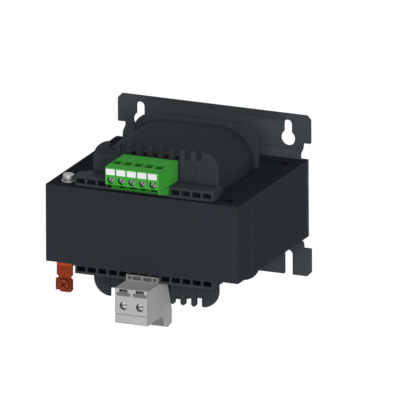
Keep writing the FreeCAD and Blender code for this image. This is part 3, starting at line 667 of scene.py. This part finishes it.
# earth screw and its clamp plate: painted shade in the cross, round the rim and along the plate's edges
crossValues = {
    "start": 0.5 * mm,
    "end": 1.2 * mm,
    "run": 0.2 * mm,
    "rim": 0.6 * mm,
    "rimShare": 0.75,
    "edge": 0.4 * mm,
    "edgeShare": 0.8,
}


def crossShadow(sheet):
    values = crossValues
    x, y, z = sheet.axes()
    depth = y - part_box("earth_terminal_screw")[0].y
    cross = depth.rise(values["start"], values["run"]) * (1.0 - depth.rise(values["end"], values["run"]))
    rim = 1.0 - screwHeadGap(x, z).rise(sharp, values["rim"])
    low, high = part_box("earth_clamp_plate")
    edges = 1.0 - nearest([x - low.x, high.x - x, z - low.z]).rise(sharp, values["edge"])
    return cross.high(rim * values["rimShare"]).high(edges * values["edgeShare"])


# earth bolt: a slotted round head on a shank, also used where the bolt is turned
boltValues = {
    "rim": 0.8 * mm,
    "headHeight": 3.3 * mm,
    "shank": 2.5 * mm,
    "slotWidth": 1.2 * mm,
    "slotDepth": 1.4 * mm,
    "slotPlay": 0.05 * mm,
    "slotStart": 0.3 * mm,
    "slotEnd": 2.0 * mm,
    "slotRun": 0.2 * mm,
    "underStart": 2.8 * mm,
    "underEnd": 4.2 * mm,
    "underRuns": (0.3 * mm, 0.2 * mm),
    "underShare": 0.6,
    "turn": math.radians(35),
}


# painted shade in the slot and in a band where the head meets the shank
def boltShadow(sheet):
    values = boltValues
    low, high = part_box("earth_bolt")
    x, y, z = sheet.axes()
    outX = x - (low.x + high.x) / 2
    outY = y - (low.y + high.y) / 2
    away = outY * math.cos(values["turn"]) - outX * math.sin(values["turn"])
    inSlot = 1.0 - away.size().rise(values["slotWidth"] / 2 + values["slotPlay"], sharp)
    depth = high.z - z
    run = values["slotRun"]
    slot = inSlot * depth.rise(values["slotStart"], run) * (1.0 - depth.rise(values["slotEnd"], run))
    firstRun, lastRun = values["underRuns"]
    under = depth.rise(values["underStart"], firstRun) * (1.0 - depth.rise(values["underEnd"], lastRun))
    return slot.high(under * values["underShare"])


# former: shade on the rear flange, behind the comb's left half and inside the rail pockets
formerValues = {
    "rearBand": 6.0 * mm,
    "rearRun": 0.5 * mm,
    "rearShare": 0.12,
    "shadeEnd": 20.0 * mm,
    "shadeRun": 12.0 * mm,
    "combLow": 46.0 * mm,
    "combRun": 4.0 * mm,
    "combShare": 0.35,
    "railTop": 36.6 * mm,
    "railLow": 29.0 * mm,
    "railHalf": 54.3 * mm,
    "railDepth": 11.5 * mm,
    "pocketStart": 0.2 * mm,
    "pocketFade": 1.6 * mm,
    "pocketShare": 0.35,
    "lowerShare": 0.45,
}


def formerShadow(sheet):
    values = formerValues
    low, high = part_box("coil_former")
    x, y, z = sheet.axes()
    rear = (y - (high.y - values["rearBand"])).rise(0.0, values["rearRun"])
    left = (values["shadeEnd"] - x).rise(0.0, values["shadeRun"])
    comb = left * (z - values["combLow"]).rise(0.0, values["combRun"]) * (1.0 - rear)
    height = z.size()
    rail = nearest([y - low.y, values["railTop"] - height, height - values["railLow"],
                    values["railHalf"] - x.size(), (low.y + values["railDepth"]) - y])
    lower = (0.0 - z).rise(0.0, mm)
    share = values["pocketShare"] + values["lowerShare"] * lower
    pocket = rail.rise(values["pocketStart"], values["pocketFade"]) * share
    return (rear * values["rearShare"] + comb * values["combShare"]).high(pocket)


print("materials: finishes described")

finishes = {
    "core_paint": stackPaint("core paint", colour(0.031, 0.0355, 0.0435), 0.55),
    "plate_paint": paint("plate paint", colour(0.062, 0.073, 0.081), 0.5),
    "former_plastic": plastic("former plastic", colour(0.045, 0.053, 0.058), 0.5, formerShadow),
    "winding_wire": varnishedTurns("winding wire", colour(0.046, 0.051, 0.056)),
    "insulation_paper": plastic("insulating paper", colour(0.55, 0.47, 0.33), 0.7),
    "wrap_tape": tape("wrap tape", colour(0.035, 0.041, 0.0465)),
    "green_plastic": plastic("green plastic", colour(0.062, 0.44, 0.053), 0.42, greenShadow),
    "white_plastic": plastic("white plastic", colour(0.9, 0.9, 0.9), 0.45),
    "terminal_steel": plated("terminal steel", colour(0.92, 0.92, 0.91), 0.35, 0.35, slotShadow),
    "tinned_brass": plated("tinned brass", colour(0.75, 0.72, 0.64), 0.36),
    "grey_plastic": plastic("grey plastic", colour(0.505, 0.505, 0.5), 0.45, greyShadow),
    "lead_sleeve": plastic("lead sleeve", colour(0.012, 0.012, 0.013), 0.5),
    "earth_lug_metal": coated("orange lug", colour(0.272, 0.041, 0.0135), lugShadow, lugLight),
    "earth_screw_metal": coated("orange screw", colour(0.285, 0.046, 0.015), crossShadow),
    "bolt_steel": plated("zinc plated steel", colour(0.43, 0.43, 0.418), 0.42, 0.7, boltShadow),
}

slotOf = {entry["node"]: entry["material_slot"] for entry in frame["record"]["subparts"]}


def dress(piece, slotName):
    piece.data.materials.clear()
    piece.data.materials.append(finishes[slotName])


for nodeName, node in nodes.items():
    node.data.materials.clear()
    node.data.materials.append(finishes[slotOf[nodeName]])
print("materials: CAD nodes dressed")


# modelling helpers that drive Blender's own tools
def deselectAll():
    if bpy.context.object and bpy.context.object.mode != "OBJECT":
        bpy.ops.object.mode_set(mode="OBJECT")
    bpy.ops.object.select_all(action="DESELECT")


def useOnly(piece):
    deselectAll()
    piece.select_set(True)
    bpy.context.view_layer.objects.active = piece


def editPiece(piece):
    useOnly(piece)
    bpy.ops.object.mode_set(mode="EDIT")
    bpy.ops.mesh.select_mode(type="VERT")


def pickEdges(piece, test):
    bpy.ops.mesh.select_mode(type="EDGE")
    bpy.ops.mesh.select_all(action="DESELECT")
    mesh = bmesh.from_edit_mesh(piece.data)
    for edge in mesh.edges:
        edge.select_set(test(edge.verts[0].co, edge.verts[1].co))
    bmesh.update_edit_mesh(piece.data)


def pickFaces(piece, test):
    bpy.ops.mesh.select_mode(type="FACE")
    bpy.ops.mesh.select_all(action="DESELECT")
    mesh = bmesh.from_edit_mesh(piece.data)
    for face in mesh.faces:
        face.select_set(test(face.calc_center_median(), face.normal))
    bmesh.update_edit_mesh(piece.data)


def endEdit():
    bpy.ops.object.mode_set(mode="OBJECT")


def setPlace(piece):
    useOnly(piece)
    bpy.ops.object.transform_apply(location=True, rotation=True, scale=True)


def smooth(piece, degrees=35):
    useOnly(piece)
    bpy.ops.object.shade_smooth_by_angle(angle=math.radians(degrees))


def handIn(piece, name, slotName, *replaced):
    piece.name = name
    piece.data.name = name
    dress(piece, slotName)
    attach(piece, "root")
    if replaced:
        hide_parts(*replaced)
    return piece


def addBox(name, low, high):
    deselectAll()
    centre = (Vector(low) + Vector(high)) / 2
    size = Vector(high) - Vector(low)
    bpy.ops.mesh.primitive_cube_add(size=1.0, location=centre, scale=size)
    piece = bpy.context.object
    piece.name = name
    setPlace(piece)
    return piece


def addModifier(piece, kind, **settings):
    useOnly(piece)
    modifier = piece.modifiers.new(kind.lower(), kind)
    for key, value in settings.items():
        setattr(modifier, key, value)
    bpy.ops.object.modifier_apply(modifier=modifier.name)


def cutOut(piece, cutter):
    addModifier(piece, "BOOLEAN", operation="DIFFERENCE", object=cutter, solver="EXACT")
    bpy.data.objects.remove(cutter)


def joinAll(pieces, name):
    useOnly(pieces[0])
    for piece in pieces[1:]:
        piece.select_set(True)
    if len(pieces) > 1:
        bpy.ops.object.join()
    joined = bpy.context.object
    joined.name = name
    return joined


# copies of CAD pieces with their sharp edges broken by these widths
softEdges = {
    "primary_terminal_body": 0.16 * mm,
    "primary_end_cover": 0.16 * mm,
    "secondary_terminal_body": 0.2 * mm,
    "earth_terminal_body": 0.12 * mm,
    "coil_former": 0.16 * mm,
    "primary_marker_tags": 0.25 * mm,
    "core_e_stack": 0.25 * mm,
    "core_i_stack": 0.25 * mm,
    "mounting_plate": 0.3 * mm,
    "earth_clamp_plate": 0.15 * mm,
    "earth_washer": 0.15 * mm,
    "earth_spring_washer": 0.12 * mm,
    "earth_nut": 0.2 * mm,
    "primary_clamps": 0.1 * mm,
    "secondary_clamps": 0.1 * mm,
    "primary_tabs": 0.1 * mm,
    "secondary_tabs": 0.1 * mm,
}
flatFaced = ("core_e_stack", "core_i_stack")


def softCopy(nodeName, edgeWidth, shape=None):
    useOnly(nodes[nodeName])
    bpy.ops.object.duplicate()
    piece = bpy.context.object
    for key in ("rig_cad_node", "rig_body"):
        if key in piece:
            del piece[key]
    piece.parent = None
    editPiece(piece)
    bpy.ops.mesh.select_all(action="SELECT")
    bpy.ops.mesh.remove_doubles(threshold=2 * touching)
    endEdit()
    if shape:
        shape(piece)
    addModifier(piece, "BEVEL", width=edgeWidth, segments=2, limit_method="ANGLE",
                angle_limit=math.radians(40), use_clamp_overlap=False, harden_normals=False)
    if nodeName not in flatFaced:
        smooth(piece, 40)
        addModifier(piece, "WEIGHTED_NORMAL", keep_sharp=True)
    return handIn(piece, nodeName + "_soft", slotOf[nodeName], nodeName)


# the former's rear flange has rounder corners than its front one
rearFlangeValues = {
    "thickness": 2.0 * mm,
    "play": 0.1 * mm,
    "margin": 5.0 * mm,
    "corner": 17.0 * mm,
    "cornerSteps": 14,
}


def alongY(a, b):
    return abs(a.x - b.x) < touching and abs(a.z - b.z) < touching


def roundRearFlange(piece):
    low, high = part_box("coil_former")
    values = rearFlangeValues
    front = high.y - values["thickness"] - values["play"]
    back = high.y + mm
    margin = values["margin"]
    borderLow = (low.x - margin, front, low.z - margin)
    borderHigh = (high.x + margin, back, high.z + margin)
    border = addBox("border", borderLow, borderHigh)
    inside = addBox("inside", (low.x, front - mm, low.z), (high.x, back + mm, high.z))
    editPiece(inside)
    pickEdges(inside, alongY)
    bpy.ops.mesh.bevel(offset=values["corner"], segments=values["cornerSteps"], affect="EDGES")
    endEdit()
    cutOut(border, inside)
    cutOut(piece, border)


for nodeName, edgeWidth in softEdges.items():
    softCopy(nodeName, edgeWidth, roundRearFlange if nodeName == "coil_former" else None)
print("moulded pieces: edges broken")


# coil: a rounded body that swells towards its middle, wound with wire and wrapped in tape
wrapValues = {
    "lip": 0.1 * mm,
    "endStepSide": 5.2 * mm,
    "endStepTop": 2.2 * mm,
    "upperCorner": 23.5 * mm,
    "lowerCorner": 30.0 * mm,
    "cornerSteps": 18,
    "sections": 22,
    "wall": 0.8 * mm,
    "fullness": 3.2,
    "play": 0.05 * mm,
    "innerCorner": 14.0 * mm,
    "innerSteps": 8,
}


def roundAlongCoil(piece, upper, lower, steps):
    editPiece(piece)
    for side, corner in ((1, upper), (-1, lower)):
        pickEdges(piece, lambda a, b: alongY(a, b) and a.z * side > 0)
        bpy.ops.mesh.bevel(offset=corner, segments=steps, affect="EDGES")


def coilBody(name, inset):
    low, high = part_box("outer_wrap")
    values = wrapValues
    lip = values["lip"]
    endX = high.x - values["endStepSide"] - inset
    endZ = high.z - values["endStepTop"] - inset
    piece = addBox(name, (-endX, low.y, -endZ), (endX, low.y + lip, endZ))
    upper = values["upperCorner"] - inset
    lower = values["lowerCorner"] - inset
    roundAlongCoil(piece, upper, lower, values["cornerSteps"])
    pickFaces(piece, lambda centre, normal: normal.y > 0.9)
    nowX, nowZ = endX, endZ
    advance = (0, (high.y - low.y - lip) / values["sections"], 0)
    for number in range(1, values["sections"] + 1):
        along = number / values["sections"]
        swell = math.sqrt(max(0.0, 1 - abs(2 * along - 1) ** values["fullness"]))
        nextX = endX + swell * values["endStepSide"]
        nextZ = endZ + swell * values["endStepTop"]
        bpy.ops.mesh.extrude_region_move(TRANSFORM_OT_translate={"value": advance})
        bpy.ops.transform.resize(value=(nextX / nowX, 1, nextZ / nowZ), center_override=(0, 0, 0))
        nowX, nowZ = nextX, nextZ
    endEdit()
    return piece


def outerWrap():
    piece = coilBody("outer wrap", 0.0)
    editPiece(piece)
    pickFaces(piece, lambda centre, normal: abs(normal.y) > 0.98)
    bpy.ops.mesh.delete(type="FACE")
    endEdit()
    addModifier(piece, "SOLIDIFY", thickness=wrapValues["wall"], offset=-1.0)
    smooth(piece, 50)
    return handIn(piece, "outer_wrap_tape", "wrap_tape", "outer_wrap")


def primaryWinding():
    values = wrapValues
    piece = coilBody("primary winding", values["wall"] + values["play"])
    low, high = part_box("layer_insulation")
    hole = addBox("hole", (low.x, low.y - mm, low.z), (high.x, high.y + mm, high.z))
    roundAlongCoil(hole, values["innerCorner"], values["innerCorner"], values["innerSteps"])
    endEdit()
    cutOut(piece, hole)
    smooth(piece, 50)
    return handIn(piece, "primary_winding_wound", "winding_wire", "primary_winding")


outerWrap()
primaryWinding()
print("coil: wound and wrapped")


# leads: enamelled wire, bent where it turns down or up to its solder tab
leadValues = {
    "bend": 2.0 * mm,
    "sides": 20,
    "bendSteps": 8,
}


def wire(name, start, corner, end, diameter):
    come = (corner - start).normalized()
    leave = (end - corner).normalized()
    turn = come.angle(leave)
    axis = come.cross(leave).normalized()
    trim = leadValues["bend"] * math.tan(turn / 2)
    first = corner - come * trim
    inward = axis.cross(come).normalized()
    centre = first + inward * leadValues["bend"]
    deselectAll()
    bpy.ops.mesh.primitive_circle_add(vertices=leadValues["sides"], radius=diameter / 2,
                                      fill_type="NGON", location=start)
    piece = bpy.context.object
    piece.rotation_euler = come.to_track_quat("Z", "Y").to_euler()
    setPlace(piece)
    editPiece(piece)
    bpy.ops.mesh.select_all(action="SELECT")
    bpy.ops.mesh.extrude_region_move(TRANSFORM_OT_translate={"value": first - start})
    bpy.ops.mesh.spin(steps=leadValues["bendSteps"], angle=turn, center=centre, axis=axis, dupli=False)
    last = corner + leave * trim
    bpy.ops.mesh.extrude_region_move(TRANSFORM_OT_translate={"value": end - last})
    bpy.ops.mesh.select_all(action="SELECT")
    bpy.ops.mesh.remove_doubles(threshold=touching)
    bpy.ops.mesh.normals_make_consistent(inside=False)
    endEdit()
    piece.name = name
    return piece


primaryLeadValues = {
    "diameter": 1.3 * mm,
    "slotPitch": 8.4 * mm,
    "poles": 5,
}
secondaryLeadValues = {
    "diameter": 2.4 * mm,
    "poles": 2,
}
tabWidth = 3.0 * mm


def tabCentres(nodeName, count):
    low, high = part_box(nodeName)
    first = low.x + tabWidth / 2
    step = (high.x - low.x - tabWidth) / (count - 1)
    return [first + number * step for number in range(count)]


def primaryLeads():
    values = primaryLeadValues
    low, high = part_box("primary_leads")
    radius = values["diameter"] / 2
    over = high.z - radius
    out = low.y + radius
    wires = []
    for x in tabCentres("primary_tabs", values["poles"]):
        slotX = round(x / values["slotPitch"]) * values["slotPitch"]
        start = Vector((slotX, high.y, over))
        corner = Vector((slotX, out, over))
        end = Vector((x, out, low.z))
        wires.append(wire("lead", start, corner, end, values["diameter"]))
    return wires


def secondaryLeads():
    values = secondaryLeadValues
    low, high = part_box("secondary_leads")
    radius = values["diameter"] / 2
    wires = []
    for x in tabCentres("secondary_tabs", values["poles"]):
        start = Vector((x, high.y, high.z - radius))
        corner = Vector((x, low.y + radius, high.z - radius))
        end = Vector((x, low.y + radius, low.z))
        wires.append(wire("lead", start, corner, end, values["diameter"]))
    return wires


for wires, nodeName in ((primaryLeads(), "primary_leads"), (secondaryLeads(), "secondary_leads")):
    joined = joinAll(wires, nodeName)
    smooth(joined, 50)
    handIn(joined, nodeName + "_bent", "lead_sleeve", nodeName)
print("coil: leads bent")


# screws: a turned head with a broken rim, and a slot or a cross cut into it
shankRim = 0.1 * mm


def turnedHead(name, centre, radius, length, rim, direction, sides=48):
    deselectAll()
    middle = centre + direction * length / 2
    bpy.ops.mesh.primitive_cylinder_add(vertices=sides, radius=radius, depth=length, location=middle)
    piece = bpy.context.object
    piece.name = name
    piece.rotation_euler = direction.to_track_quat("Z", "Y").to_euler()
    setPlace(piece)
    editPiece(piece)
    face = centre.dot(direction)
    pickEdges(piece, lambda a, b: all(abs(end.dot(direction) - face) < 0.01 * mm for end in (a, b)))
    bpy.ops.mesh.bevel(offset=rim, segments=3, affect="EDGES")
    endEdit()
    return piece


def cutSlot(piece, centre, direction, length, width, depth, turn):
    cutter = addBox("cutter", (-length / 2, -width / 2, -depth), (length / 2, width / 2, depth))
    spun = Matrix.Rotation(turn, 3, "Z").to_quaternion()
    cutter.rotation_euler = (direction.to_track_quat("Z", "Y") @ spun).to_euler()
    cutter.location = centre
    setPlace(cutter)
    cutOut(piece, cutter)


terminalScrewValues = {
    "rim": 0.35 * mm,
    "slotWidth": 0.9 * mm,
    "slotDepth": 0.8 * mm,
}
terminalScrewSets = {
    "primary_screws": {"count": 5, "radius": 2.3 * mm, "turn": math.radians(60)},
    "secondary_screws": {"count": 2, "radius": 2.7 * mm, "turn": math.radians(8)},
}


def terminalScrews(nodeName, count, radius, turn):
    low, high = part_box(nodeName)
    values = terminalScrewValues
    step = (high.x - low.x - 2 * radius) / (count - 1)
    inward = Vector((0, 1, 0))
    heads = []
    for number in range(count):
        face = Vector((low.x + radius + number * step, low.y, (low.z + high.z) / 2))
        head = turnedHead("screw", face, radius, high.y - low.y, values["rim"], inward)
        cutSlot(head, face, -inward, radius * 3, values["slotWidth"], values["slotDepth"], turn)
        heads.append(head)
    joined = joinAll(heads, nodeName)
    smooth(joined, 30)
    return handIn(joined, nodeName + "_turned", "terminal_steel", nodeName)


for nodeName, screwSet in terminalScrewSets.items():
    terminalScrews(nodeName, **screwSet)
print("terminals: screws turned")


earthScrewValues = {
    "rim": 0.45 * mm,
    "shank": 2.0 * mm,
    "head": 1.6 * mm,
    "crossLength": 5.6 * mm,
    "crossWidth": 1.1 * mm,
    "crossDepth": 1.0 * mm,
    "turn": math.radians(40),
}


def earthScrew():
    low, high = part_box("earth_terminal_screw")
    values = earthScrewValues
    radius = (high.x - low.x) / 2
    face = Vector(((low.x + high.x) / 2, low.y, (low.z + high.z) / 2))
    inward = Vector((0, 1, 0))
    head = turnedHead("earth screw", face, radius, values["head"], values["rim"], inward, 64)
    for quarter in (0, math.pi / 2):
        cutSlot(head, face, -inward, values["crossLength"], values["crossWidth"], values["crossDepth"],
                values["turn"] + quarter)
    stem = face + inward * values["head"]
    shank = turnedHead("shank", stem, values["shank"], high.y - stem.y, shankRim, inward, 32)
    joined = joinAll([head, shank], "earth screw")
    smooth(joined, 30)
    return handIn(joined, "earth_screw_turned", "earth_screw_metal", "earth_terminal_screw")


def earthBolt():
    low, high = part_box("earth_bolt")
    values = boltValues
    radius = (high.x - low.x) / 2
    down = Vector((0, 0, -1))
    face = Vector(((low.x + high.x) / 2, (low.y + high.y) / 2, high.z))
    head = turnedHead("earth bolt", face, radius, values["headHeight"], values["rim"], down, 64)
    cutSlot(head, face, -down, radius * 3, values["slotWidth"], values["slotDepth"], values["turn"])
    stem = face + down * values["headHeight"]
    shank = turnedHead("shank", stem, values["shank"], stem.z - low.z, shankRim, down, 32)
    joined = joinAll([head, shank], "earth bolt")
    smooth(joined, 30)
    return handIn(joined, "earth_bolt_turned", "bolt_steel", "earth_bolt")


earthScrew()
earthBolt()
print("earth: screw and bolt turned")


# floor, light and camera
stageValues = {
    "floorHeight": -0.42,
    "floorSize": 60.0,
    "floorColour": colour(0.94, 0.94, 0.94),
    "floorShowing": 0.997,
    "ambient": 0.34,
    "sunStrength": 2.3,
    "sunFrom": (0.42, -0.88, 0.17),
    "sunSpread": 50.0,
}


def floor():
    deselectAll()
    place = (0, 0, stageValues["floorHeight"])
    bpy.ops.mesh.primitive_plane_add(size=stageValues["floorSize"], location=place)
    piece = bpy.context.object
    piece.name = "floor"
    sheet = newSheet("pale floor")
    sheet.fix(Base_Color=stageValues["floorColour"], Roughness=0.9)
    white = sheet.node("ShaderNodeEmission", {}, {"Strength": 1.0})
    lit = Wire(sheet, sheet.shader.outputs["BSDF"])
    share = sheet.ray("Is Camera Ray") * stageValues["floorShowing"]
    mixed = sheet.node("ShaderNodeMixShader", {}, {0: share, 1: lit, 2: white})
    sheet.feed(sheet.tree.nodes["Material Output"].inputs["Surface"], mixed)
    piece.data.materials.append(sheet.owner)


# white where it is looked at or mirrored, a weaker soft light on the object
def world():
    scene.world = bpy.data.worlds.new("soft room")
    sheet = Sheet(scene.world, "Background")
    seen = sheet.ray("Is Camera Ray").high(sheet.ray("Is Glossy Ray"))
    seen = seen.high(sheet.ray("Is Transmission Ray"))
    ambient = stageValues["ambient"]
    sheet.drive("Strength", ambient + (1 - ambient) * seen)
    sheet.fix(Color=(1, 1, 1, 1))


def sun():
    deselectAll()
    bpy.ops.object.light_add(type="SUN", location=(0, 0, 1))
    lamp = bpy.context.object
    lamp.rotation_euler = Vector(stageValues["sunFrom"]).to_track_quat("Z", "Y").to_euler()
    lamp.data.energy = stageValues["sunStrength"]
    lamp.data.angle = math.radians(stageValues["sunSpread"])


# the photograph's view has no perspective: its axes, and where the middle of the frame lies
cameraValues = {
    "right": (0.917264, 0.398252, -0.004638),
    "up": (-0.112594, 0.270464, 0.956123),
    "anchor": (0.0, -70.0 * mm, 0.0),
    "shiftRight": 23.848 * mm,
    "shiftUp": 0.308 * mm,
    "frameWidth": 300.545 * mm,
    "distance": 1.2,
}


def camera():
    right = Vector(cameraValues["right"]).normalized()
    up = Vector(cameraValues["up"]).normalized()
    back = right.cross(up).normalized()
    shift = right * cameraValues["shiftRight"] + up * cameraValues["shiftUp"]
    middle = Vector(cameraValues["anchor"]) + shift
    deselectAll()
    bpy.ops.object.camera_add()
    eye = bpy.context.object
    eye.data.type = "ORTHO"
    eye.data.ortho_scale = cameraValues["frameWidth"]
    turned = Matrix((right, up, back)).transposed().to_4x4()
    eye.matrix_world = Matrix.Translation(middle + back * cameraValues["distance"]) @ turned
    eye.data.clip_end = 20
    scene.camera = eye


floor()
world()
sun()
camera()
scene.view_settings.view_transform = "Standard"
print("stage: floor, light and camera set")

deselectAll()
